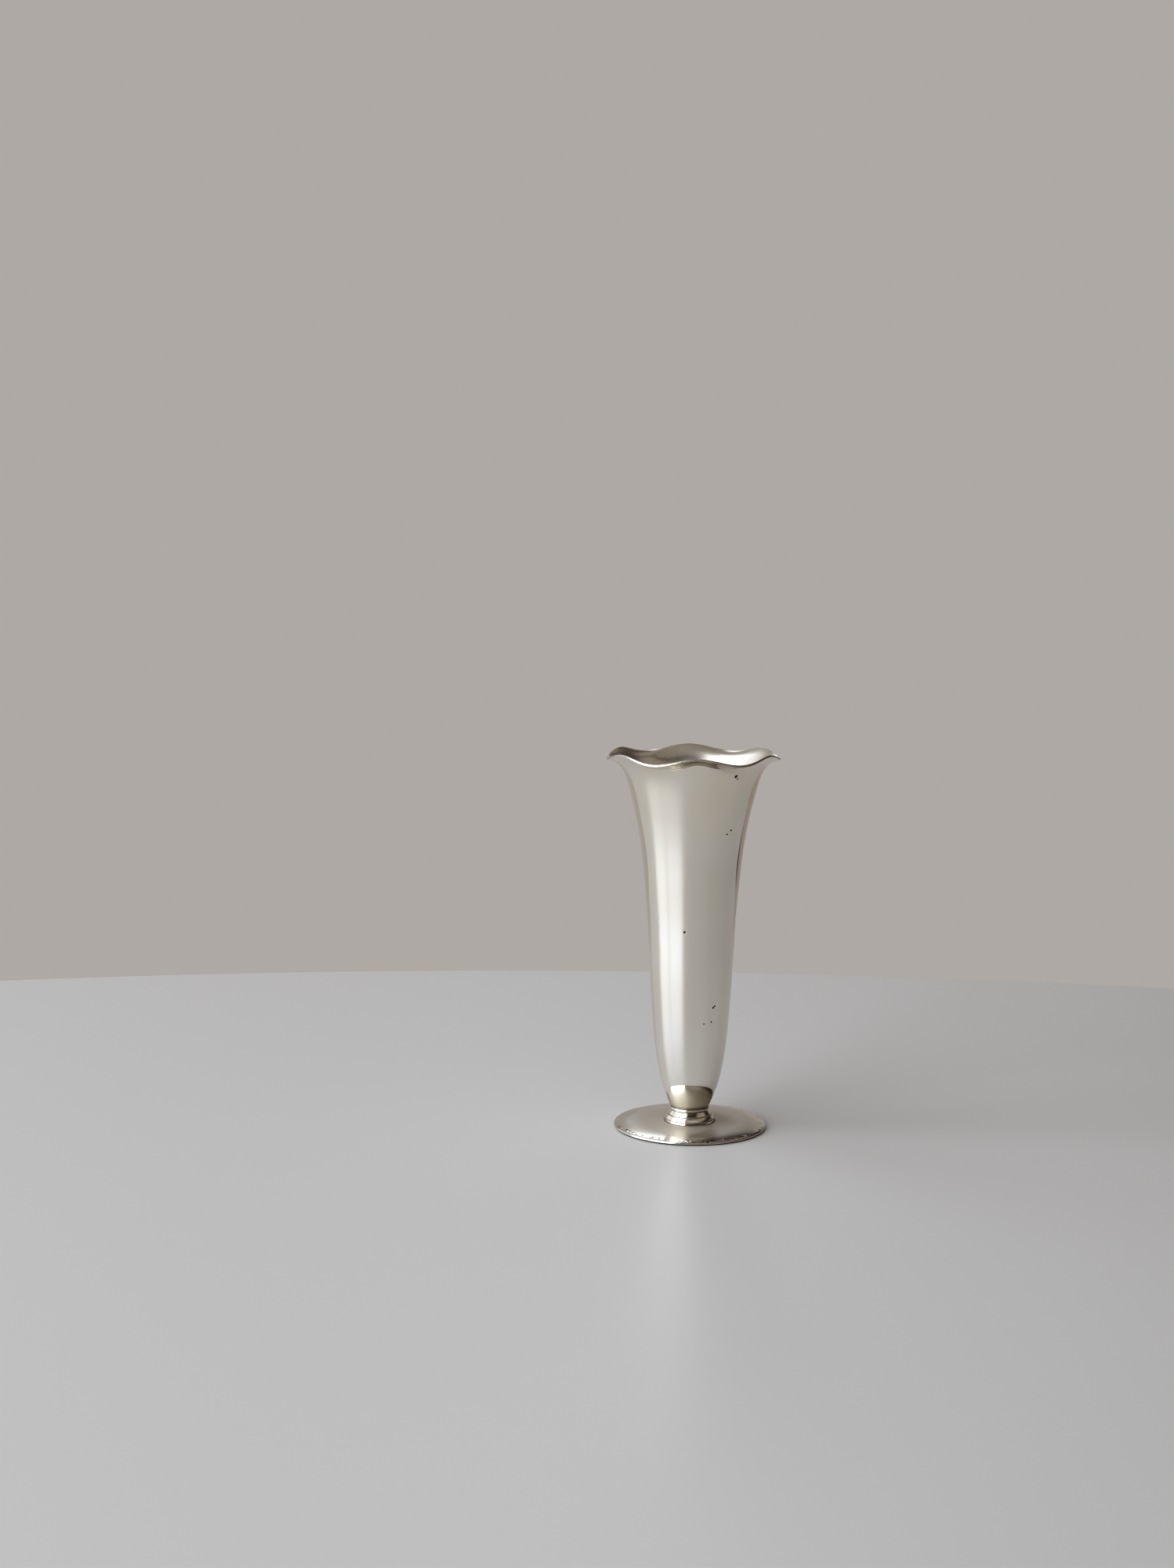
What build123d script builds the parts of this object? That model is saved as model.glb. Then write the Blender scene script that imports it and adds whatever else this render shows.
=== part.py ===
from build123d import *
import math
import os

# A trumpet vase in silver-plated sheet metal, with a waved lip and a thin round foot.
# Millimetres, +Z up, origin at the centre of the felt pad's underside, front towards -Y.

# Felt pad
felt_thickness = 0.5
felt_inset = 0.5

# Foot plate
foot_radius = 29.0
foot_height = 1.8
foot_sheet = 0.8
foot_rim_width = 2.4
foot_shoulder_width = 3.0
foot_shoulder_share = 0.73

# Neck collar, with a spigot under the body and a tenon through the foot
collar_radius = 9.5
collar_height = 4.5
collar_swell_shares = [(0.0, 1.0), (0.3, 0.86), (0.62, 0.52), (1.0, 0.0)]
spigot_chamfer_share = 0.5
tenon_radius = 4.0
tenon_stub_share = 0.55
fit_clearance = 0.05

# Waist ring
ring_height = 1.2
ring_width = 2.5
ring_overhang = 0.25

# Trumpet body: a tube up to the throat, then the waved lip
body_sheet = 0.8
waist_radius = 7.3
throat_radius = 25.6
tube_height = 126.7
tube_shares = [
    (0.0, 0.0),
    (0.046, 0.13),
    (0.093, 0.228),
    (0.143, 0.297),
    (0.215, 0.363),
    (0.31, 0.418),
    (0.445, 0.473),
    (0.565, 0.515),
    (0.695, 0.594),
    (0.79, 0.667),
    (0.88, 0.778),
    (0.947, 0.89),
    (1.0, 1.0),
]
knee_reach = 2.3
knee_rise = 6.0
rim_reach = 6.55
rim_rise = 7.5
wave_reach = 0.5
wave_rise = 1.3
wave_count = 6
wave_turn = 3.3
points_per_wave = 8
lip_steps = 4

# Sizes and heights that follow from those above
ring_radius = waist_radius + ring_overhang
ring_bore = ring_radius - ring_width
ring_flat_radius = ring_radius - ring_height / 2
spigot_radius = ring_bore - fit_clearance
spigot_chamfer = ring_height * spigot_chamfer_share
recess_depth = foot_height - foot_sheet
tenon_stub = recess_depth * tenon_stub_share
foot_top = felt_thickness + foot_height
foot_underside = foot_top - foot_sheet
ring_base = foot_top + collar_height
body_base = ring_base + ring_height
throat_height = body_base + tube_height


def turned(*edges):
    """Solid turned about Z from the edges of a closed outline in radius and height."""
    return revolve(Plane.XZ * make_face(edges), Axis.Z)


def felt_pad():
    """Flat disc, glued under the edge of the foot and set in a little from it."""
    radius = foot_radius - felt_inset
    return turned(
        Polyline((0, 0), (radius, 0), (radius, felt_thickness), (0, felt_thickness), close=True)
    )


def foot_plate():
    """Spun disc with a hole for the tenon, a rounded shoulder and a shallow recess beneath."""
    hole = tenon_radius + fit_clearance
    recess = foot_radius - foot_rim_width
    flat = foot_radius - foot_shoulder_width
    drop = foot_height * foot_shoulder_share
    return turned(
        Polyline((hole, foot_underside), (hole, foot_top), (flat, foot_top)),
        EllipticalCenterArc((flat, foot_top - drop), foot_shoulder_width, drop, arc_size=90),
        Polyline(
            (foot_radius, foot_top - drop),
            (foot_radius, felt_thickness),
            (recess, felt_thickness),
            (recess, foot_underside),
            (hole, foot_underside),
        ),
    )


def foot_solder():
    """Fillet of solder round the end of the tenon, under the foot plate."""
    return turned(
        Polyline(
            (tenon_radius, foot_underside),
            (tenon_radius + tenon_stub, foot_underside),
            (tenon_radius, foot_underside - tenon_stub),
            close=True,
        )
    )


def neck_collar():
    """Turned dome that stands on the foot, with its tenon below and its spigot above."""
    swell = collar_radius - ring_flat_radius
    dome = [(ring_flat_radius + swell * r, foot_top + collar_height * h) for h, r in collar_swell_shares]
    return turned(
        Polyline(
            (0, body_base),
            (0, foot_underside - tenon_stub),
            (tenon_radius, foot_underside - tenon_stub),
            (tenon_radius, foot_top),
            dome[0],
        ),
        Spline(*dome),
        Polyline(
            dome[-1],
            (spigot_radius, ring_base),
            (spigot_radius, body_base - spigot_chamfer),
            (spigot_radius - spigot_chamfer, body_base),
            (0, body_base),
        ),
    )


def waist_ring():
    """Half-round ring round the spigot, clamped between the collar and the body."""
    return turned(
        Polyline(
            (ring_flat_radius, body_base),
            (ring_bore, body_base),
            (ring_bore, ring_base),
            (ring_flat_radius, ring_base),
        ),
        JernArc((ring_flat_radius, ring_base), (1, 0), ring_height / 2, 180),
    )


def seam_solder():
    """Ring of solder in the spigot's chamfer, under the bottom of the body."""
    return turned(
        Polyline(
            (spigot_radius - spigot_chamfer, body_base),
            (spigot_radius, body_base),
            (spigot_radius, body_base - spigot_chamfer),
            close=True,
        )
    )


def lip_point(wave, share):
    """Point on the outside of the lip, on a curve from the throat past a fixed knee to the edge."""
    throat = Vector(throat_radius, throat_height)
    knee = throat + Vector(knee_reach, knee_rise)
    edge = throat + Vector(rim_reach - wave_reach * wave, rim_rise + wave_rise * wave)
    return throat * (1 - share) ** 2 + knee * 2 * share * (1 - share) + edge * share**2


def outer_line(wave):
    """Points of radius and height up the outside of the sheet, from the bottom to the lip's edge."""
    flare = throat_radius - waist_radius
    tube = [Vector(waist_radius + flare * r, body_base + tube_height * h) for h, r in tube_shares]
    return tube + [lip_point(wave, step / lip_steps) for step in range(1, lip_steps + 1)]


def inner_line(outer):
    """Points up the inside, one sheet in from the outside, from the floor of the vase to the lip."""
    along = [(after - before).normalized() for before, after in zip(outer, outer[2:] + outer[-1:])]
    floor = Vector(waist_radius - body_sheet, body_base + body_sheet)
    return [floor] + [p + Vector(-t.Y, t.X) * body_sheet for p, t in zip(outer[1:], along)]


def lip_nose(outer, inner):
    """The crown of the rounded edge of the lip, half a sheet past its two corners."""
    across = inner[-1] - outer[-1]
    return outer[-1] + across / 2 + Vector(across.Y, -across.X) / 2


def ring_wire(points, turns):
    """Closed smooth ring through points of radius and height, one for each turn about Z."""
    ring = [(p.X * math.sin(turn), -p.X * math.cos(turn), p.Y) for p, turn in zip(points, turns)]
    return Wire([Edge.make_spline(ring, periodic=True)])


def trumpet_body():
    """Closed sheet: lofts up the outside, over the edge and up the inside, and two round floors."""
    count = wave_count * points_per_wave
    turns = [2 * math.pi * step / count for step in range(count)]
    waves = [math.cos(wave_count * (turn - math.radians(wave_turn))) for turn in turns]
    outer = [outer_line(wave) for wave in waves]
    inner = [inner_line(line) for line in outer]
    nose = [lip_nose(*lines) for lines in zip(outer, inner)]
    outer_rings = [ring_wire(ring, turns) for ring in zip(*outer)]
    inner_rings = [ring_wire(ring, turns) for ring in zip(*inner)]
    edge_rings = [outer_rings[-1], ring_wire(nose, turns), inner_rings[-1]]
    skins = [Shell.make_loft(rings).face() for rings in (outer_rings, edge_rings, inner_rings)]
    return Solid(Shell([Face(outer_rings[0]), *skins, Face(inner_rings[0])]))


pieces = [
    felt_pad,
    foot_plate,
    foot_solder,
    neck_collar,
    waist_ring,
    seam_solder,
    trumpet_body,
]
os.makedirs("parts", exist_ok=True)
for piece in pieces:
    export_step(piece(), f"parts/{piece.__name__}.step")
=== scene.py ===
import math

import bmesh
import bpy
import numpy as np
from mathutils import Matrix, Vector


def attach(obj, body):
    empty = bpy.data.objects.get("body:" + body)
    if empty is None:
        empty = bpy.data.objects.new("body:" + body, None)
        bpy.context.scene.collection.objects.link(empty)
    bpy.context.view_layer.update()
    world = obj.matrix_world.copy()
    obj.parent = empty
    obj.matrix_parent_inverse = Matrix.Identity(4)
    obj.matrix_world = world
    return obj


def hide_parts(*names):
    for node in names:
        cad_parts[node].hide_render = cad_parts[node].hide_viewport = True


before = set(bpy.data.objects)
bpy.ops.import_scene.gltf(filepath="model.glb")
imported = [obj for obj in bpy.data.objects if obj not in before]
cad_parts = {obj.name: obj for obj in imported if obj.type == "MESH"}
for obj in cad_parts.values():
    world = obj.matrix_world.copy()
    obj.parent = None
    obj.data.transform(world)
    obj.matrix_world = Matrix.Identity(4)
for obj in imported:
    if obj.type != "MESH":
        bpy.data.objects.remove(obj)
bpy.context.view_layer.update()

scene = bpy.context.scene


# Felt pad
# A disc of black wool felt, punched from sheet and glued under the foot so that it doesn't scratch.
# The pressed fibres are matt and a little cloudy, and the punched edge is uneven.
MM = 0.001
felt_radius = 28.5 * MM
felt_thickness = 0.5 * MM
felt_edge_round = 0.08 * MM
felt_edge_wear = 0.12 * MM
felt_edge_wear_size = 1.6 * MM
felt_steps = 480
felt_black = "#100F0E"
felt_dusty = "#282521"
felt_clump = 1.4 * MM
felt_fibre = 0.25 * MM
felt_nap = 0.1 * MM
felt_wear_spread = 0.48
felt_wear_seed = 2.0


def linear(colour):
    """An sRGB hex colour as the linear red, green, blue and alpha that a shader takes."""
    parts = [int(colour[start : start + 2], 16) / 255 for start in (1, 3, 5)]
    return [p / 12.92 if p <= 0.04045 else ((p + 0.055) / 1.055) ** 2.4 for p in parts] + [1.0]


def add_node(tree, kind, inputs=None, **settings):
    """Adds a node with its settings, and gives each input a value or a link from a socket or a node."""
    node = tree.nodes.new(kind)
    for name, value in settings.items():
        setattr(node, name, value)
    for socket, value in (inputs or {}).items():
        if isinstance(value, bpy.types.Node):
            value = value.outputs[0]
        if isinstance(value, bpy.types.NodeSocket):
            tree.links.new(value, node.inputs[socket])
        else:
            node.inputs[socket].default_value = value
    return node


def new_finish(name):
    """A new material with its node tree and its surface shader."""
    material = bpy.data.materials.new(name)
    material.use_nodes = True
    return material, material.node_tree, material.node_tree.nodes["Principled BSDF"]


def wool_felt():
    """Pressed wool felt: no gloss, clumps of darker and dustier fibre, and a short nap."""
    material, tree, shader = new_finish("pressed_wool_felt")
    place = add_node(tree, "ShaderNodeTexCoord").outputs["Object"]
    clump = {"Vector": place, "Scale": 1 / felt_clump, "Detail": 3.0}
    clumps = add_node(tree, "ShaderNodeTexNoise", clump)
    fibre = {"Vector": place, "Scale": 1 / felt_fibre, "Detail": 2.0, "Distortion": 1.5}
    fibres = add_node(tree, "ShaderNodeTexNoise", fibre)
    dust = add_node(tree, "ShaderNodeMath", {0: clumps, 1: fibres}, operation="MULTIPLY")
    tones = {0: dust, 6: linear(felt_black), 7: linear(felt_dusty)}
    colour = add_node(tree, "ShaderNodeMix", tones, data_type="RGBA").outputs[2]
    nap = add_node(tree, "ShaderNodeBump", {"Height": fibres, "Distance": felt_nap, "Strength": 0.8})
    tree.links.new(colour, shader.inputs["Base Color"])
    tree.links.new(nap.outputs[0], shader.inputs["Normal"])
    shader.inputs["Roughness"].default_value = 0.95
    shader.inputs["Sheen Weight"].default_value = 0.1
    shader.inputs["Sheen Roughness"].default_value = 0.5
    return material


def arc(centre, reach, rise, start, end, steps):
    """Points of radius and height on an elliptic arc, with its angles in degrees from straight out."""
    angles = np.radians(np.linspace(start, end, steps + 1))
    return [(centre[0] + reach * math.cos(a), centre[1] + rise * math.sin(a)) for a in angles]


def spinning_tree():
    """Tree that spins a section line about the axis, waves its lip and wears its edges."""
    tree = bpy.data.node_groups.new("spun_on_the_lathe", "GeometryNodeTree")
    for name, kind in (
        ("Section", "Geometry"),
        ("Steps Around", "Int"),
        ("Wave Count", "Int"),
        ("Wave Turn", "Float"),
        ("Wave Move", "Vector"),
        ("Wear Depth", "Float"),
        ("Wear Size", "Float"),
        ("Wear Spread", "Float"),
        ("Wear Seed", "Float"),
        ("Finish", "Material"),
    ):
        tree.interface.new_socket(name, in_out="INPUT", socket_type="NodeSocket" + kind)
    tree.interface.new_socket("Piece", in_out="OUTPUT", socket_type="NodeSocketGeometry")
    given = add_node(tree, "NodeGroupInput").outputs

    # A grid with a row for each point of the line and a column for each step round it
    section = {"Geometry": given["Section"]}
    line = add_node(tree, "GeometryNodeAttributeDomainSize", section, component="MESH")
    seam = {0: given["Steps Around"], 1: 1}
    columns = add_node(tree, "FunctionNodeIntegerMath", seam, operation="ADD")
    counts = {"Vertices X": line.outputs["Point Count"], "Vertices Y": columns}
    grid = add_node(tree, "GeometryNodeMeshGrid", counts)
    index = add_node(tree, "GeometryNodeInputIndex")
    row = add_node(tree, "FunctionNodeIntegerMath", {0: index, 1: columns}, operation="DIVIDE_FLOOR")
    step = add_node(tree, "FunctionNodeIntegerMath", {0: index, 1: columns}, operation="MODULO")

    # What the line says at that row
    position = add_node(tree, "GeometryNodeInputPosition")
    read = {**section, "Index": row, "Value": position}
    point = add_node(tree, "GeometryNodeSampleIndex", read, data_type="FLOAT_VECTOR")
    shares = {}
    for name in ("wave", "wear", "soil_and_painted_shade", "age", "dull"):
        named = {"Name": name + "_share"}
        share = add_node(tree, "GeometryNodeInputNamedAttribute", named, data_type="FLOAT")
        read = {**section, "Index": row, "Value": share}
        shares[name] = add_node(tree, "GeometryNodeSampleIndex", read, data_type="FLOAT")

    # Each point waved and turned into its place
    quarter = math.tau / 4
    around = {"Value": step, "From Max": given["Steps Around"]}
    turn = add_node(tree, "ShaderNodeMapRange", {**around, "To Min": -quarter, "To Max": 3 * quarter})
    past_crest = add_node(tree, "ShaderNodeMath", {0: turn, 1: given["Wave Turn"]}, operation="SUBTRACT")
    waves = {0: past_crest, 1: given["Wave Count"]}
    phase = add_node(tree, "ShaderNodeMath", waves, operation="MULTIPLY")
    swing = add_node(tree, "ShaderNodeMath", {0: phase}, operation="COSINE")
    wave = add_node(tree, "ShaderNodeMath", {0: swing, 1: shares["wave"]}, operation="MULTIPLY")
    waved = {0: wave, 1: given["Wave Move"], 2: point}
    bent = add_node(tree, "ShaderNodeVectorMath", waved, operation="MULTIPLY_ADD")
    turned = {"Vector": bent, "Angle": turn}
    place = add_node(tree, "ShaderNodeVectorRotate", turned, rotation_type="Z_AXIS")
    skin = add_node(tree, "GeometryNodeSetPosition", {"Geometry": grid, "Position": place})

    # Nicks where the noise is high, kept with the other shares for the finish
    grit = add_node(tree, "ShaderNodeMath", {0: 1.0, 1: given["Wear Size"]}, operation="DIVIDE")
    noise = {"Vector": position, "W": given["Wear Seed"], "Scale": grit, "Detail": 2.0}
    rough = add_node(tree, "ShaderNodeTexNoise", noise, noise_dimensions="4D")
    deep = add_node(tree, "ShaderNodeMath", {0: given["Wear Spread"], 1: 0.1}, operation="ADD")
    limits = {"Value": rough, "From Min": given["Wear Spread"], "From Max": deep}
    nicks = add_node(tree, "ShaderNodeMapRange", limits)
    worn = add_node(tree, "ShaderNodeMath", {0: nicks, 1: shares["wear"]}, operation="MULTIPLY")
    for name, value in (("worn", worn), *[(name, shares[name]) for name in ("soil_and_painted_shade", "age", "dull")]):
        kept = {"Geometry": skin, "Name": name, "Value": value}
        skin = add_node(tree, "GeometryNodeStoreNamedAttribute", kept, data_type="FLOAT", domain="POINT")
    closed = add_node(tree, "GeometryNodeMergeByDistance", {"Geometry": skin, "Distance": 0.002 * MM})
    stored = add_node(tree, "GeometryNodeInputNamedAttribute", {"Name": "worn"}, data_type="FLOAT")
    depth = add_node(tree, "ShaderNodeMath", {0: stored, 1: given["Wear Depth"]}, operation="MULTIPLY")
    normal = add_node(tree, "GeometryNodeInputNormal")
    outward = add_node(tree, "ShaderNodeVectorMath", {0: normal, "Scale": depth}, operation="SCALE")
    inward = add_node(tree, "ShaderNodeVectorMath", {0: outward, "Scale": -1.0}, operation="SCALE")
    used = add_node(tree, "GeometryNodeSetPosition", {"Geometry": closed, "Offset": inward})
    smooth = add_node(tree, "GeometryNodeSetShadeSmooth", {"Geometry": used})
    real = add_node(tree, "GeometryNodeRealizeInstances", {"Geometry": smooth})
    finished = add_node(tree, "GeometryNodeSetMaterial", {"Geometry": real, "Material": given["Finish"]})
    add_node(tree, "NodeGroupOutput", {"Piece": finished})
    return tree


spinning = spinning_tree()
sharp_edge = math.radians(38)


def spun_piece(name, node, slot, line, finish, steps, shares=None, **sizes):
    """Piece spun from a section line that runs from below to above, in place of a CAD node."""
    mesh = bpy.data.meshes.new(name)
    down = line[::-1]
    mesh.from_pydata([(r, 0, z) for r, z in down], [(i, i + 1) for i in range(len(down) - 1)], [])
    for kind in ("wave", "wear", "soil_and_painted_shade", "age", "dull"):
        values = (shares or {}).get(kind, [0.0] * len(line))
        mesh.attributes.new(kind + "_share", "FLOAT", "POINT").data.foreach_set("value", values[::-1])
    piece = bpy.data.objects.new(name, mesh)
    scene.collection.objects.link(piece)
    modifier = piece.modifiers.new("spin", "NODES")
    modifier.node_group = spinning
    given = {"Steps Around": steps, "Finish": finish, "Wear Size": 1 * MM, **sizes}
    for socket in spinning.interface.items_tree:
        if socket.in_out == "INPUT" and socket.name in given:
            modifier[socket.identifier] = given[socket.name]
    graph = bpy.context.evaluated_depsgraph_get()
    finished = bpy.data.meshes.new_from_object(
        piece.evaluated_get(graph), preserve_all_data_layers=True, depsgraph=graph
    )
    piece.modifiers.clear()
    piece.data = finished
    bpy.data.meshes.remove(mesh)
    shell = bmesh.new()
    shell.from_mesh(finished)
    bmesh.ops.recalc_face_normals(shell, faces=shell.faces)
    shell.to_mesh(finished)
    shell.free()
    finished.set_sharp_from_angle(angle=sharp_edge)
    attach(piece, "root")
    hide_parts(node)
    return piece


felt_side = felt_radius - felt_edge_round
felt_line = [
    (0.0, 0.0),
    (felt_side * 0.9, 0.0),
    *arc((felt_side, felt_edge_round), felt_edge_round, felt_edge_round, -90, 0, 3),
    *arc((felt_side, felt_thickness - felt_edge_round), felt_edge_round, felt_edge_round, 0, 90, 3),
    (felt_side * 0.9, felt_thickness),
    (0.0, felt_thickness),
]
felt_wear = [1.0 if r > felt_side + felt_edge_round / 2 else 0.0 for r, z in felt_line]
felt_disc = spun_piece(
    "felt_disc",
    "felt_pad",
    "felt",
    felt_line,
    wool_felt(),
    felt_steps,
    {"wear": felt_wear},
    **{
        "Wear Depth": felt_edge_wear,
        "Wear Size": felt_edge_wear_size,
        "Wear Spread": felt_wear_spread,
        "Wear Seed": felt_wear_seed,
    },
)


# Foot plate
# A thin disc of silver-plated brass, spun over a former, with a rolled shoulder and a turned-down edge.
# Its top is satin and stained near the collar and brightens to a mirror at the nicked shoulder.
foot_radius = 29.0 * MM
foot_base = felt_thickness
foot_top = 2.3 * MM
foot_underside = 1.5 * MM
foot_hole = 4.05 * MM
foot_rim = 26.6 * MM
foot_flat = 19.0 * MM
foot_bend = 28.38 * MM
foot_fall = 0.85 * MM
foot_roll = 0.75 * MM
foot_edge_round = 0.2 * MM
foot_steps = 720
foot_silver = "#CDC8BC"
foot_tarnish = "#B2A894"
foot_gloss = 0.09
foot_age_shares = [(10, 0.75), (27, 0.1)]
foot_dull_shares = [(9.5, 2.0), (13, 2.6), (20, 1.5), (27.5, 0.05)]
foot_soil_radius = 9.5 * MM
foot_soil_width = 0.6 * MM
foot_wear_radius = 27.9 * MM
foot_wear_width = 1.7 * MM
foot_nick_depth = 0.13 * MM
foot_nick_size = 1.5 * MM
foot_nick_spread = 0.6
foot_nick_seed = 5.0
foot_nicks = [
    (-71, 28.0, 0.45),
    (-60, 27.4, 0.75),
    (-57, 26.8, 0.3),
    (-46, 27.7, 0.4),
    (-31, 28.3, 0.35),
    (-5, 28.2, 0.4),
    (3, 28.2, 0.55),
    (5, 27.7, 0.3),
    (14, 28.6, 0.55),
    (25, 28.1, 0.35),
    (36, 27.3, 0.45),
    (43, 27.8, 0.35),
    (70, 28.3, 0.6),
    (133, 27.9, 0.45),
    (208, 27.6, 0.5),
]
# Brown for soil in joints and nicks, also used as painted shade on the lip's edge
soil_and_shade_brown = "#241E18"
tarnish_cloud = 26 * MM
smudge = 9 * MM
polishing_mark = 0.5 * MM
sheet_wave = 16 * MM
sheet_wave_depth = 0.035 * MM
pit_depth = 0.06 * MM
pit_ragged = 0.35 * MM


def silver_plate(name, silver, tarnish, gloss, pits=()):
    """Polished silver plate on brass: a warm mirror with thin cloudy tarnish and faint marks of the
    polishing wheel, soil in its joints, painted shade in the same brown where a piece asks for it,
    nicks on its edges and small dark pits through the plate."""
    material, tree, shader = new_finish(name)
    place = add_node(tree, "ShaderNodeTexCoord").outputs["Object"]
    worn = add_node(tree, "ShaderNodeAttribute", attribute_name="worn").outputs["Fac"]
    soil_and_painted_shade = add_node(tree, "ShaderNodeAttribute", attribute_name="soil_and_painted_shade").outputs["Fac"]
    age = add_node(tree, "ShaderNodeAttribute", attribute_name="age").outputs["Fac"]
    unpolished = add_node(tree, "ShaderNodeAttribute", attribute_name="dull").outputs["Fac"]

    # Dirt in the joints, in the nicks and in ragged pits, and painted shade where the soil share is set
    # for it
    ragged = {"Vector": place, "Scale": 1 / pit_ragged, "Detail": 2.0}
    fine = add_node(tree, "ShaderNodeTexNoise", ragged)
    broken = {"Value": fine, "From Min": 0.3, "From Max": 0.6, "To Min": 0.5, "To Max": 1.0}
    patchy = add_node(tree, "ShaderNodeMapRange", broken)
    dirt_and_painted_shade = add_node(tree, "ShaderNodeMath", {0: soil_and_painted_shade, 1: patchy}, operation="MULTIPLY")
    nicked = add_node(tree, "ShaderNodeMath", {0: worn, 1: 0.55}, operation="MULTIPLY")
    dirt_and_painted_shade = add_node(tree, "ShaderNodeMath", {0: dirt_and_painted_shade, 1: nicked}, operation="MAXIMUM")
    for centre, radius in pits:
        reach = {0: place, 1: centre}
        away = add_node(tree, "ShaderNodeVectorMath", reach, operation="DISTANCE").outputs["Value"]
        uneven = {0: fine, 1: -radius, 2: away}
        edge = add_node(tree, "ShaderNodeMath", uneven, operation="MULTIPLY_ADD")
        hole = {"Value": edge, "From Min": radius * 0.35, "From Max": radius * 0.55}
        pit = add_node(tree, "ShaderNodeMapRange", {**hole, "To Min": 1.0, "To Max": 0.0})
        dirt_and_painted_shade = add_node(tree, "ShaderNodeMath", {0: dirt_and_painted_shade, 1: pit}, operation="MAXIMUM")

    # Tarnish in clouds, more of it where the plate has aged
    clouds = {"Vector": place, "Scale": 1 / tarnish_cloud, "Detail": 4.0}
    cloud = add_node(tree, "ShaderNodeTexNoise", clouds)
    spread = {"Value": cloud, "From Min": 0.3, "From Max": 0.7, "To Min": -0.18, "To Max": 0.28}
    shade = add_node(tree, "ShaderNodeMapRange", spread)
    stain = add_node(tree, "ShaderNodeMath", {0: age, 1: shade}, operation="ADD", use_clamp=True)
    tones = {0: stain, 6: linear(silver), 7: linear(tarnish)}
    plate = add_node(tree, "ShaderNodeMix", tones, data_type="RGBA").outputs[2]
    # Soil brown mixed in: real soil in joints, nicks and pits, and painted shade on the lip edge
    tones = {0: dirt_and_painted_shade, 6: plate, 7: linear(soil_and_shade_brown)}
    colour = add_node(tree, "ShaderNodeMix", tones, data_type="RGBA").outputs[2]

    # Gloss lost to handling, to the polishing wheel, to dirt and under the painted shade
    smears = add_node(tree, "ShaderNodeTexNoise", {"Vector": place, "Scale": 1 / smudge, "Detail": 3.0})
    handled = {"Value": smears, "From Min": 0.35, "From Max": 0.7}
    dull = add_node(tree, "ShaderNodeMapRange", {**handled, "To Min": gloss, "To Max": gloss * 1.6})
    wheel = add_node(tree, "ShaderNodeMapping", {"Vector": place, "Scale": (0.02, 0.02, 1.0)})
    streaks = {"Vector": wheel, "Scale": 1 / polishing_mark, "Detail": 2.0}
    marks = add_node(tree, "ShaderNodeTexNoise", streaks)
    marked = {"Value": marks, "From Min": 0.5, "From Max": 0.8, "To Min": 0.0, "To Max": gloss * 0.5}
    fine_lines = add_node(tree, "ShaderNodeMapRange", marked)
    dull = add_node(tree, "ShaderNodeMath", {0: dull, 1: fine_lines}, operation="ADD")
    dull = add_node(tree, "ShaderNodeMath", {0: dirt_and_painted_shade, 1: 0.45, 2: dull}, operation="MULTIPLY_ADD")
    dull = add_node(tree, "ShaderNodeMath", {0: unpolished, 1: 0.2, 2: dull}, operation="MULTIPLY_ADD")

    # A sheet that isn't quite true, and pits sunk in it
    swell = {"Vector": place, "Scale": 1 / sheet_wave, "Detail": 1.0}
    sheet = add_node(tree, "ShaderNodeTexNoise", swell)
    bent = add_node(tree, "ShaderNodeBump", {"Height": sheet, "Distance": sheet_wave_depth})
    sunk = {"Height": dirt_and_painted_shade, "Distance": pit_depth, "Normal": bent}
    dented = add_node(tree, "ShaderNodeBump", sunk, invert=True)
    tree.links.new(colour, shader.inputs["Base Color"])
    tree.links.new(dull.outputs[0], shader.inputs["Roughness"])
    tree.links.new(dented.outputs[0], shader.inputs["Normal"])
    shader.inputs["Metallic"].default_value = 1.0
    return material


def near(value, centre, width):
    """A smooth hump, 1 at the centre and 0 past the width to each side of it."""
    return max(0.0, 1 - ((value - centre) / width) ** 2) ** 2


def spot(turn, radius, height):
    """A point at a turn in degrees from the front, towards the right, and a radius and height."""
    angle = math.radians(turn)
    return radius * math.sin(angle), -radius * math.cos(angle), height


foot_lean = math.degrees(math.atan(2 * foot_fall / (foot_bend - foot_flat)))
foot_roll_height = foot_top - foot_fall - foot_roll * math.cos(math.radians(foot_lean))
foot_shoulder = [
    *arc((foot_radius - foot_roll, foot_roll_height), foot_roll, foot_roll, 0, 90 - foot_lean, 12)[:-1],
    *[
        (r, foot_top - foot_fall * ((r - foot_flat) / (foot_bend - foot_flat)) ** 2)
        for r in np.linspace(foot_bend, foot_flat, 40)
    ],
]
foot_corner = (foot_radius - foot_edge_round, foot_base + foot_edge_round)
foot_line = [
    (foot_hole, foot_underside),
    (foot_rim, foot_underside),
    (foot_rim, foot_base),
    *arc(foot_corner, foot_edge_round, foot_edge_round, -90, 0, 5),
    *foot_shoulder,
    *[(r * MM, foot_top) for r in np.arange(18.6, 4.3, -0.4)],
    (foot_hole, foot_top),
    (foot_hole, foot_underside),
]
foot_wear = [
    near(r, foot_wear_radius, foot_wear_width) * (z > foot_base + foot_edge_round) for r, z in foot_line
]
foot_soil = [near(r, foot_soil_radius, foot_soil_width) * (z >= foot_top) for r, z in foot_line]
foot_rows = [r / MM for r, z in foot_line]
foot_age = np.interp(foot_rows, *zip(*foot_age_shares)).tolist()
foot_dull = np.interp(foot_rows, *zip(*foot_dull_shares)).tolist()
shoulder_in, shoulder_up = zip(*foot_shoulder[::-1])
nicks = [
    (spot(turn, r * MM, float(np.interp(r * MM, shoulder_in, shoulder_up))), size * MM)
    for turn, r, size in foot_nicks
]
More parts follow.
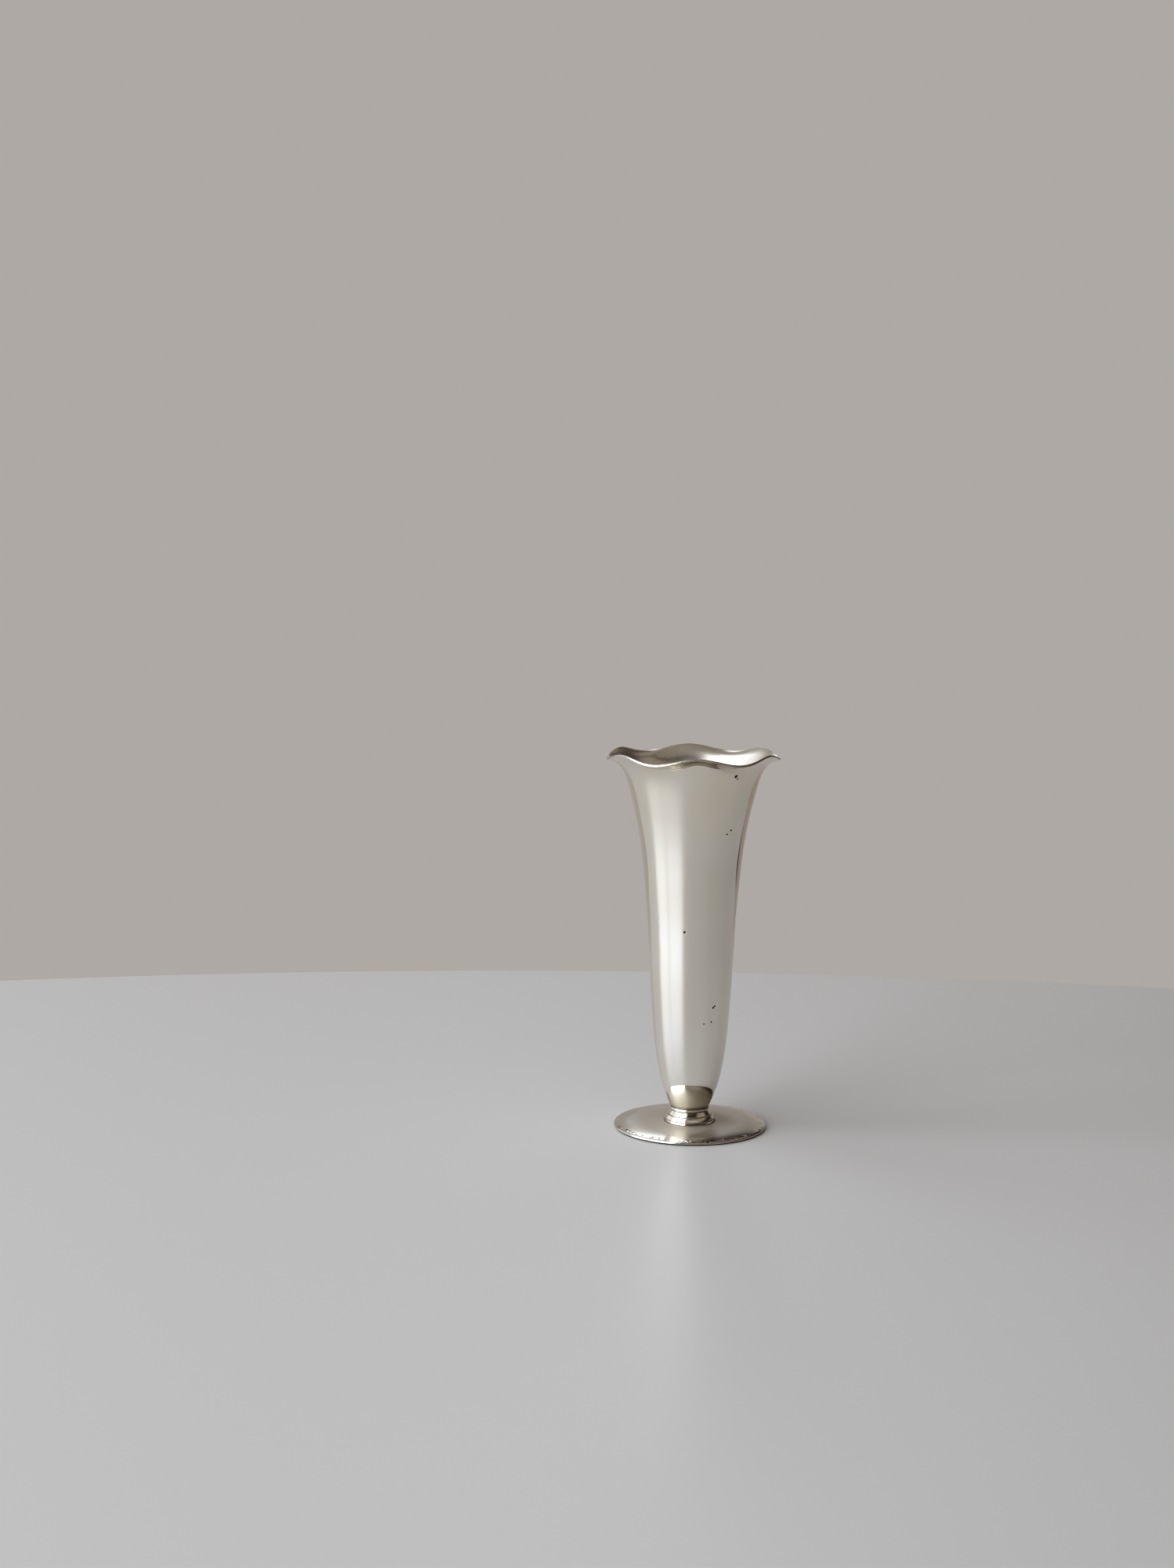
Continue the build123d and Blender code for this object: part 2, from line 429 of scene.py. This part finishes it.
spun_piece(
    "foot_disc",
    "foot_plate",
    "silver_plate",
    foot_line,
    silver_plate("worn_silver_plate", foot_silver, foot_tarnish, foot_gloss, nicks),
    foot_steps,
    {"wear": foot_wear, "soil_and_painted_shade": foot_soil, "age": foot_age, "dull": foot_dull},
    **{
        "Wear Depth": foot_nick_depth,
        "Wear Size": foot_nick_size,
        "Wear Spread": foot_nick_spread,
        "Wear Seed": foot_nick_seed,
    },
)


# Foot solder
# A fillet of soft solder round the end of the collar's tenon, under the foot plate.
# It set with a dull grey, slightly grainy skin, and the felt hides it.
solder_grey = "#A3A19B"
solder_dark = "#7E7B74"
solder_grain = 0.5 * MM
solder_frost = 0.05 * MM


def soft_solder():
    """Soft solder: a dull grey metal with a fine frosty grain where it set."""
    material, tree, shader = new_finish("soft_solder")
    place = add_node(tree, "ShaderNodeTexCoord").outputs["Object"]
    frosted = {"Vector": place, "Scale": 1 / solder_grain, "Detail": 3.0}
    grain = add_node(tree, "ShaderNodeTexNoise", frosted)
    tones = {0: grain, 6: linear(solder_dark), 7: linear(solder_grey)}
    colour = add_node(tree, "ShaderNodeMix", tones, data_type="RGBA").outputs[2]
    frost = add_node(tree, "ShaderNodeBump", {"Height": grain, "Distance": solder_frost})
    skin = {"Value": grain, "From Min": 0.3, "From Max": 0.7, "To Min": 0.35, "To Max": 0.55}
    dull = add_node(tree, "ShaderNodeMapRange", skin)
    tree.links.new(colour, shader.inputs["Base Color"])
    tree.links.new(dull.outputs[0], shader.inputs["Roughness"])
    tree.links.new(frost.outputs[0], shader.inputs["Normal"])
    shader.inputs["Metallic"].default_value = 1.0
    return material


solder = soft_solder()


def leave_solder(node):
    """The CAD node's own shape stays, with the solder's finish."""
    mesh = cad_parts[node].data
    mesh.materials.clear()
    mesh.materials.append(solder)


leave_solder("foot_solder")


# Neck collar
# A small dome turned from brass, with two fine lines cut round it, and silver plated.
# It stands on the foot and carries the body: its tenon and its spigot are soldered into the two.
collar_radius = 9.5 * MM
collar_height = 4.5 * MM
collar_shares = [(0.0, 1.0), (0.3, 0.86), (0.62, 0.52), (1.0, 0.0)]
collar_top = foot_top + collar_height
collar_steps = 240
tenon_radius = 4.0 * MM
tenon_end = 0.95 * MM
spigot_radius = 5.0 * MM
spigot_chamfer = 0.6 * MM
body_base = 8.0 * MM
ring_flat_radius = 6.95 * MM
collar_lines = [3.25 * MM, 5.0 * MM]
collar_line_width = 0.22 * MM
collar_line_depth = 0.08 * MM
collar_rows = 110
collar_age_share = 0.5
collar_gloss = 0.08
joint_soil_width = 0.25 * MM
silver_bright = "#EAE6DD"
silver_tarnish = "#E5DBC3"


def smooth_line(points, count, end_run=None):
    """Points evenly along a smooth cubic line through the given ones, with a given run at its end."""
    given = np.array(points, float)
    along = np.concatenate([[0.0], np.cumsum(np.linalg.norm(np.diff(given, axis=0), axis=1))])
    gap = np.diff(along)
    size = len(given)
    bend_rows = np.eye(size)
    bends = np.zeros_like(given)
    slopes = np.diff(given, axis=0) / gap[:, None]
    for i in range(1, size - 1):
        bend_rows[i, i - 1 : i + 2] = gap[i - 1], 2 * (gap[i - 1] + gap[i]), gap[i]
        bends[i] = 6 * (slopes[i] - slopes[i - 1])
    if end_run is not None:
        bend_rows[-1, -2:] = gap[-1], 2 * gap[-1]
        bends[-1] = 6 * (np.array(end_run) / np.linalg.norm(end_run) - slopes[-1])
    curve = np.linalg.solve(bend_rows, bends)
    line = []
    for u in np.linspace(0, along[-1], count):
        i = min(np.searchsorted(along, u, side="right") - 1, size - 2)
        before, after = u - along[i], along[i + 1] - u
        cubic = (curve[i] * after**3 + curve[i + 1] * before**3) / (6 * gap[i])
        start = given[i] / gap[i] - curve[i] * gap[i] / 6
        end = given[i + 1] / gap[i] - curve[i + 1] * gap[i] / 6
        line.append(tuple(cubic + start * after + end * before))
    return line


collar_swell = collar_radius - ring_flat_radius
collar_dome = smooth_line(
    [(ring_flat_radius + collar_swell * r, foot_top + collar_height * h) for h, r in collar_shares],
    collar_rows,
)
collar_cuts = [
    max(near(z, height, collar_line_width) for height in collar_lines) for r, z in collar_dome
]
collar_line = [
    (0.0, tenon_end),
    (tenon_radius, tenon_end),
    (tenon_radius, foot_top),
    *[(r - collar_line_depth * cut, z) for (r, z), cut in zip(collar_dome, collar_cuts)],
    (spigot_radius, collar_top),
    (spigot_radius, body_base - spigot_chamfer),
    (spigot_radius - spigot_chamfer, body_base),
    (0.0, body_base),
]
collar_joints = [foot_top, collar_top, *collar_lines]
collar_soil = [
    max(near(z, height, joint_soil_width) for height in collar_joints) for r, z in collar_line
]
collar_age = [collar_age_share] * len(collar_line)
spun_piece(
    "neck_dome",
    "neck_collar",
    "silver_plate",
    collar_line,
    silver_plate("turned_silver_plate", silver_bright, silver_tarnish, collar_gloss),
    collar_steps,
    {"soil_and_painted_shade": collar_soil, "age": collar_age},
)


# Waist ring
# A half-round ring of plated brass wire, slipped over the spigot and clamped under the body.
# Polish and soil gather in the two grooves beside it.
ring_height = 1.2 * MM
ring_bore = 5.05 * MM
ring_steps = 240
ring_round = ring_height / 2
ring_line = [
    (ring_bore, collar_top),
    *arc((ring_flat_radius, collar_top + ring_round), ring_round, ring_round, -90, 90, 24),
    (ring_bore, body_base),
    (ring_bore, collar_top),
]
ring_soil = [
    max(near(z, height, joint_soil_width) for height in (collar_top, body_base)) for r, z in ring_line
]
ring_age = [collar_age_share] * len(ring_line)
spun_piece(
    "waist_bead",
    "waist_ring",
    "silver_plate",
    ring_line,
    bpy.data.materials["turned_silver_plate"],
    ring_steps,
    {"soil_and_painted_shade": ring_soil, "age": ring_age},
)


# Seam solder
# A ring of the same solder in the spigot's chamfer, which holds the bottom of the body.
# The waist ring covers it all round.
leave_solder("seam_solder")


# Trumpet body
# One piece of brass sheet, spun into a slender trumpet, waved at the lip over a former, and plated.
# The polished outside mirrors what is round it, with a few dark pits where the plate has failed.
body_sheet = 0.8 * MM
waist_radius = 7.3 * MM
throat_radius = 25.6 * MM
tube_height = 126.7 * MM
tube_shares = [
    (0.0, 0.0),
    (0.046, 0.13),
    (0.093, 0.228),
    (0.143, 0.297),
    (0.215, 0.363),
    (0.31, 0.418),
    (0.445, 0.473),
    (0.565, 0.515),
    (0.695, 0.594),
    (0.79, 0.667),
    (0.88, 0.778),
    (0.947, 0.89),
    (1.0, 1.0),
]
knee = Vector((2.3, 6.0)) * MM
rim = Vector((6.55, 7.5)) * MM
wave_move = Vector((-0.5, 0.0, 1.3)) * MM
wave_count = 6
wave_turn = math.radians(3.3 - 90)
body_steps = 288
tube_rows = 110
lip_rows = 28
body_edge_round = 0.15 * MM
lip_edge_round = 0.15 * MM
inside_wave_share = 0.91
floor_round = 0.6 * MM
floor_round_steps = 6
body_gloss = 0.05
# Painted shade: the lip's cut edge takes the soil brown all round, darkening the edge that mirrors the
# dim surround.
lip_painted_shade_share = 0.55
waist_soil_width = 0.5 * MM
age_at_throat = 0.35
age_at_waist = 0.35
age_at_waist_width = 8 * MM
body_pits = [
    (36, 137, 0.7),
    (38.5, 136, 0.35),
    (43, 116.3, 0.38),
    (38, 114.9, 0.36),
    (-9, 78, 0.5),
    (34, 48.8, 0.45),
    (36.5, 49.3, 0.4),
    (20, 42.8, 0.3),
    (32, 43.3, 0.34),
    (150, 96, 0.5),
    (205, 61, 0.45),
    (262, 118, 0.4),
]

throat = Vector((throat_radius, body_base + tube_height))
tube = smooth_line(
    [
        (waist_radius + (throat_radius - waist_radius) * r, body_base + tube_height * h)
        for h, r in tube_shares
    ],
    tube_rows,
    knee,
)
lip_shares = [step / lip_rows for step in range(1, lip_rows + 1)]
lip = [tuple(throat + knee * 2 * t * (1 - t) + rim * t**2) for t in lip_shares]
outside = np.array(tube + lip)
outside_wave = np.array([0.0] * len(tube) + [t**2 for t in lip_shares])
runs = np.gradient(outside, axis=0)
runs /= np.linalg.norm(runs, axis=1)[:, None]
inside = outside + np.column_stack([-runs[:, 1], runs[:, 0]]) * body_sheet
floor_height = body_base + body_sheet
kept = inside[:, 1] > floor_height + floor_round
inside, inside_wave = inside[kept], outside_wave[kept] * inside_wave_share

across = (inside[-1] - outside[-1]) / body_sheet * lip_edge_round
lean = math.degrees(math.atan2(*-across[::-1]))
lip_edge = [
    *arc(outside[-1] + across, lip_edge_round, lip_edge_round, lean, lean + 90, 5)[1:],
    *arc(inside[-1] - across, lip_edge_round, lip_edge_round, lean + 90, lean + 180, 5)[:-1],
]
well_corner = (inside[0][0] - floor_round, floor_height + floor_round)
body_line = [
    (0.0, body_base),
    (waist_radius - body_edge_round, body_base),
    *[tuple(p) for p in outside[1:]],
    *lip_edge,
    *[tuple(p) for p in inside[::-1]],
    *arc(well_corner, floor_round, floor_round, 0, -90, floor_round_steps)[1:],
    (0.0, floor_height),
]
edge_wave = np.linspace(1.0, inside_wave_share, len(lip_edge))
well_rows = floor_round_steps + 1
body_wave = [0.0, 0.0, *outside_wave[1:], *edge_wave, *inside_wave[::-1], *[0.0] * well_rows]
body_soil_and_painted_shade = [near(z, body_base, waist_soil_width) for r, z in body_line]
edge_start = len(outside) + 1
# Painted shade along the whole lip edge, in the soil brown; near the waist the share is soil in the
# joint.
body_soil_and_painted_shade[edge_start : edge_start + len(lip_edge)] = [lip_painted_shade_share] * len(lip_edge)
body_age = [
    age_at_throat * z / throat.y + age_at_waist * near(z, body_base, age_at_waist_width)
    for r, z in body_line
]
inside_rows = len(inside) + well_rows
body_dull = [0.0] * (len(body_line) - inside_rows) + [1.0] * inside_rows
pits = [
    (spot(turn, float(np.interp(height * MM, outside[:, 1], outside[:, 0])), height * MM), size * MM)
    for turn, height, size in body_pits
]
spun_piece(
    "spun_trumpet",
    "trumpet_body",
    "silver_plate",
    body_line,
    silver_plate("polished_silver_plate", silver_bright, silver_tarnish, body_gloss, pits),
    body_steps,
    {"wave": body_wave, "soil_and_painted_shade": body_soil_and_painted_shade, "age": body_age, "dull": body_dull},
    **{"Wave Count": wave_count, "Wave Turn": wave_turn, "Wave Move": wave_move},
)


# Floor, light and camera
# A plain pale table top with a satin gloss, and tall soft lamps like window panes to the left and back.
# For the metal to mirror, a cotton screen runs round the front and right. Its colour is painted shade of
# a
# dim room: pale to brown, with a dark band, a dark top and a dark upright stripe, under a pale surround
# that darkens overhead.
floor_radius = 1.25
floor_back = 0.3
floor_steps = 256
floor_grey = "#C3BFB8"
floor_roughness = 0.44
surround_pale = "#AEA9A4"
surround_overhead = "#857D74"
pane_distance = 2.0
panes = [
    (-62.75, -0.65, 1.217, -0.3, 1.5, 5.3),
    (-62.75, 0.838, 1.592, -0.3, 1.5, 5.3),
    (-62.75, -0.65, 1.217, 1.5, 10.0, 1.45),
    (-62.75, 0.838, 1.592, 1.5, 10.0, 1.45),
    (-117.0, 0.0, 1.333, -0.3, 1.5, 0.55),
    (-117.0, 0.0, 1.333, 1.5, 6.7, 1.4),
    (-175.0, 0.0, 0.333, 0.93, 1.5, 1.7),
]
pane_colour = "#E6EFFF"
screen_radius = 1.15
screen_start = -18
screen_end = 177
screen_lift = 160
screen_foot = -0.3
screen_lifted_foot = 0.5
screen_height = 2.2
screen_steps = 92
# Painted shade on the screen: pale near the window, browner and darker away from it, as in a dim room.
screen_light = "#DAD2C8"
screen_brown = "#86796B"
screen_dark = "#28231F"
screen_shade_direction = (0.8, 0.7, 0.9)
screen_shade_reach = 1.15
shade_band_slope = (0.0, -0.245, 1.0)
shade_band_height = 0.38
shade_band_dark, shade_band_end = 0.2, 0.42
shaded_top_height, shaded_top_dark = 1.6, 1.8
shade_stripe_turn = math.radians(128)
shade_stripe_dark, shade_stripe_end = 0.07, 0.12
camera_place = Vector((0.0, -0.8144, 0.2220))
camera_turn = math.radians(2.8155)
camera_tilt = math.radians(90 - 6.3498)
camera_roll = math.radians(0.3191)
picture_height = 2000
focal_pixels = 2772


def stage_piece(name, corners, faces, material):
    """A piece of the stage from its corners and faces."""
    mesh = bpy.data.meshes.new(name)
    mesh.from_pydata(corners, [], faces)
    mesh.materials.append(material)
    piece = bpy.data.objects.new(name, mesh)
    scene.collection.objects.link(piece)
    return piece


table_finish, _, table_shader = new_finish("pale_lacquered_board")
table_shader.inputs["Base Color"].default_value = linear(floor_grey)
table_shader.inputs["Roughness"].default_value = floor_roughness
table_shader.inputs["IOR"].default_value = 1.5
floor_edge = []
for turn in np.arange(floor_steps) * math.tau / floor_steps:
    right, back = floor_radius * math.cos(turn), floor_radius * (math.sin(turn) - 1) + floor_back
    cut = min(1.0, screen_radius / math.hypot(right, back))
    floor_edge.append((right * cut, back * cut, 0.0))
stage_piece("floor", floor_edge, [list(range(len(floor_edge)))], table_finish)

# The screen's colour is painted shade of a dim room, mirrored by the metal and kept from the camera.
screen_finish, screen_tree, screen_shader = new_finish("screen_of_painted_room_shade")
screen_place = add_node(screen_tree, "ShaderNodeTexCoord").outputs["Object"]
measure = {0: screen_place, 1: screen_shade_direction}
rightward = add_node(screen_tree, "ShaderNodeVectorMath", measure, operation="DOT_PRODUCT")
fade = {"Value": rightward.outputs["Value"], "From Min": 0.0, "From Max": screen_shade_reach}
browner = add_node(screen_tree, "ShaderNodeMapRange", fade)
shade_tones = {0: browner, 6: linear(screen_light), 7: linear(screen_brown)}
brown = add_node(screen_tree, "ShaderNodeMix", shade_tones, data_type="RGBA").outputs[2]
# Painted shade: a dark band across the screen at a sloping height.
measure = {0: screen_place, 1: shade_band_slope}
rising = add_node(screen_tree, "ShaderNodeVectorMath", measure, operation="DOT_PRODUCT").outputs["Value"]
above = add_node(screen_tree, "ShaderNodeMath", {0: rising, 1: shade_band_height}, operation="SUBTRACT")
from_shade_band = add_node(screen_tree, "ShaderNodeMath", {0: above}, operation="ABSOLUTE")
fade = {"Value": from_shade_band, "From Min": shade_band_dark, "From Max": shade_band_end, "To Min": 1.0, "To Max": 0.0}
shade_band = add_node(screen_tree, "ShaderNodeMapRange", fade)
# Painted shade: the screen darkens towards its top.
fade = {"Value": rising, "From Min": shaded_top_height, "From Max": shaded_top_dark}
shaded_top = add_node(screen_tree, "ShaderNodeMapRange", fade)
darker = add_node(screen_tree, "ShaderNodeMath", {0: shade_band, 1: shaded_top}, operation="MAXIMUM")
# Painted shade: a dark upright stripe on the screen at one turn.
measure = {0: screen_place, 1: (math.cos(shade_stripe_turn), math.sin(shade_stripe_turn), 0.0)}
beside = add_node(screen_tree, "ShaderNodeVectorMath", measure, operation="DOT_PRODUCT").outputs["Value"]
from_shade_stripe = add_node(screen_tree, "ShaderNodeMath", {0: beside}, operation="ABSOLUTE")
fade = {"Value": from_shade_stripe, "From Min": shade_stripe_dark, "From Max": shade_stripe_end, "To Min": 1.0, "To Max": 0.0}
shade_stripe = add_node(screen_tree, "ShaderNodeMapRange", fade)
darker = add_node(screen_tree, "ShaderNodeMath", {0: darker, 1: shade_stripe}, operation="MAXIMUM")
shade_tones = {0: darker, 6: brown, 7: linear(screen_dark)}
painted_room_shade = add_node(screen_tree, "ShaderNodeMix", shade_tones, data_type="RGBA").outputs[2]
screen_tree.links.new(painted_room_shade, screen_shader.inputs["Base Color"])
screen_shader.inputs["Specular IOR Level"].default_value = 0.0
screen_shader.inputs["Roughness"].default_value = 0.9
screen_corners = [
    spot(turn, screen_radius, height)
    for turn in np.linspace(screen_start, screen_end, screen_steps + 1)
    for height in (screen_foot if turn < screen_lift else screen_lifted_foot, screen_height)
]
screen_faces = [[i, i + 1, i + 3, i + 2] for i in range(0, len(screen_corners) - 2, 2)]
screen = stage_piece("screen", screen_corners, screen_faces, screen_finish)
screen.visible_camera = False

world = bpy.data.worlds.new("pale_surround")
scene.world = world
world.use_nodes = True
sky = world.node_tree
direction = add_node(sky, "ShaderNodeTexCoord").outputs["Generated"]
upward = add_node(sky, "ShaderNodeSeparateXYZ", {0: direction}).outputs["Z"]
overhead = add_node(sky, "ShaderNodeMapRange", {"Value": upward, "From Min": 0.25, "From Max": 0.85})
tones = {0: overhead, 6: linear(surround_pale), 7: linear(surround_overhead)}
tone = add_node(sky, "ShaderNodeMix", tones, data_type="RGBA").outputs[2]
sky.links.new(tone, sky.nodes["Background"].inputs["Color"])

for turn, aside, width, bottom, top, brightness in panes:
    pane = bpy.data.lights.new("window_pane", "AREA")
    pane.shape = "RECTANGLE"
    pane.size = width
    pane.size_y = top - bottom
    pane.energy = 4 * width * (top - bottom) * brightness
    pane.color = linear(pane_colour)[:3]
    lamp = bpy.data.objects.new("window_pane", pane)
    scene.collection.objects.link(lamp)
    facing = math.radians(turn)
    lamp.location = Matrix.Rotation(facing, 3, "Z") @ Vector((aside, -pane_distance, (bottom + top) / 2))
    lamp.rotation_euler = (math.radians(90), 0, facing)
    lamp.visible_camera = False

lens = bpy.data.cameras.new("camera")
lens.lens = lens.sensor_width * focal_pixels / picture_height
camera = bpy.data.objects.new("camera", lens)
scene.collection.objects.link(camera)
camera.matrix_world = (
    Matrix.Translation(camera_place)
    @ Matrix.Rotation(camera_turn, 4, "Z")
    @ Matrix.Rotation(camera_tilt, 4, "X")
    @ Matrix.Rotation(camera_roll, 4, "Z")
)
scene.camera = camera
scene.view_settings.view_transform = "Standard"
